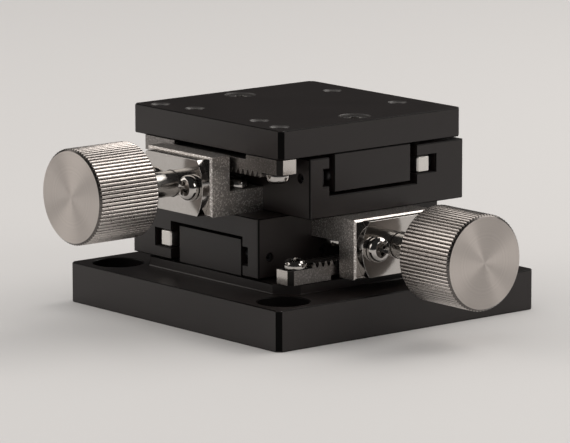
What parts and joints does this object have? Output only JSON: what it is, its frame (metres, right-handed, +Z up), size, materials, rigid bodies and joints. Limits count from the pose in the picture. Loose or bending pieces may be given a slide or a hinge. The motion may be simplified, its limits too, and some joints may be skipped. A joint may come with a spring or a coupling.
{
  "type": "manual xy stage",
  "caption": "Two crossed ball slides carrying a table plate on a base plate, each driven by a knurled knob through a rack and pinion.",
  "frame": {"origin": "centre of the base plate's underside, on the axis of its square of bolt holes", "axes": "+Z up, square to the table; +X along the lower slide's travel; +Y along the upper slide's travel, away from the lower slide's knob; the upper slide's knob is on the -X side"},
  "size_m": [0.0961, 0.0951, 0.0436],
  "materials": {
    "anodised_plate": "black anodised over fine milling, satin",
    "anodised_body": "black anodised over fine milling, satin",
    "nickel_bracket": "nickel plated, ground sides and polished outer face",
    "nickel_flange": "nickel plated and polished",
    "nickel_knob": "nickel plated, knurled rim and turned face",
    "nickel_rack": "nickel plated",
    "ground_steel": "ground",
    "spring_steel": "oiled spring steel",
    "hardened_steel": "ground and hardened",
    "ball_steel": "polished",
    "cage_brass": "rolled sheet",
    "bearing_bronze": "sintered, oiled",
    "bright_screw": "bright nickel plated",
    "black_screw": "black oxide"
  },
  "bodies": {
    "base": {"base_plate": "anodised_plate", "base_block_screws": "black_screw", "lower_block": "anodised_body", "lower_cage_stop_screws": "bright_screw", "lower_rack": "nickel_rack", "lower_rack_screws": "bright_screw"},
    "carriage": {"lower_body": "anodised_body", "lower_fixed_rail": "hardened_steel", "lower_preload_rail": "hardened_steel", "lower_rail_screws": "black_screw", "lower_preload_screws": "black_screw", "lower_bracket": "nickel_bracket", "lower_bracket_screws": "bright_screw", "lower_flange": "nickel_flange", "lower_flange_screws": "bright_screw", "lower_bushing": "bearing_bronze", "upper_body": "anodised_body", "upper_fixed_rail": "hardened_steel", "upper_preload_rail": "hardened_steel", "upper_rail_screws": "black_screw", "upper_preload_screws": "black_screw", "upper_bracket": "nickel_bracket", "upper_bracket_screws": "bright_screw", "upper_flange": "nickel_flange", "upper_flange_screws": "bright_screw", "upper_bushing": "bearing_bronze", "body_joint_screws": "black_screw", "stop_pin": "hardened_steel"},
    "table": {"table_plate": "anodised_plate", "table_block_screws": "black_screw", "upper_block": "anodised_body", "upper_cage_stop_screws": "bright_screw", "upper_rack": "nickel_rack", "upper_rack_screws": "bright_screw"},
    "lower_knob_set": {"lower_pinion_shaft": "ground_steel", "lower_retaining_ring": "spring_steel", "lower_knob": "nickel_knob", "lower_knob_screw": "black_screw"},
    "upper_knob_set": {"upper_pinion_shaft": "ground_steel", "upper_retaining_ring": "spring_steel", "upper_knob": "nickel_knob", "upper_knob_screw": "black_screw"},
    "lower_ball_set": {"lower_fixed_side_cage": "cage_brass", "lower_preload_side_cage": "cage_brass", "lower_balls": "ball_steel"},
    "upper_ball_set": {"upper_fixed_side_cage": "cage_brass", "upper_preload_side_cage": "cage_brass", "upper_balls": "ball_steel"}
  },
  "joints": [
    {"name": "x_slide", "type": "slide", "parent": "base", "child": "carriage", "axis": [1, 0, 0], "range_m": [-0.009, 0.011]},
    {"name": "y_slide", "type": "slide", "parent": "carriage", "child": "table", "axis": [0, 1, 0], "range_m": [-0.0102, 0.0098]},
    {"name": "x_knob_turn", "type": "hinge", "parent": "carriage", "child": "lower_knob_set", "pos_m": [-0.0007, -0.0442, 0.018], "axis": [0, 1, 0], "range_deg": [-158.77, 194.02]},
    {"name": "y_knob_turn", "type": "hinge", "parent": "carriage", "child": "upper_knob_set", "pos_m": [-0.0452, 0.0012, 0.0303], "axis": [1, 0, 0], "range_deg": [-172.87, 179.92]},
    {"name": "x_ball_travel", "type": "slide", "parent": "base", "child": "lower_ball_set", "axis": [1, 0, 0], "range_m": [-0.00451, 0.00551]},
    {"name": "y_ball_travel", "type": "slide", "parent": "carriage", "child": "upper_ball_set", "axis": [0, 1, 0], "range_m": [-0.00511, 0.00491]}
  ],
  "couplings": [
    {"joint": "x_knob_turn", "follows": "x_slide", "rad_per_m": 307.69},
    {"joint": "y_knob_turn", "follows": "y_slide", "rad_per_m": -307.69},
    {"joint": "x_ball_travel", "follows": "x_slide", "ratio": 0.5},
    {"joint": "y_ball_travel", "follows": "y_slide", "ratio": 0.5}
  ]
}
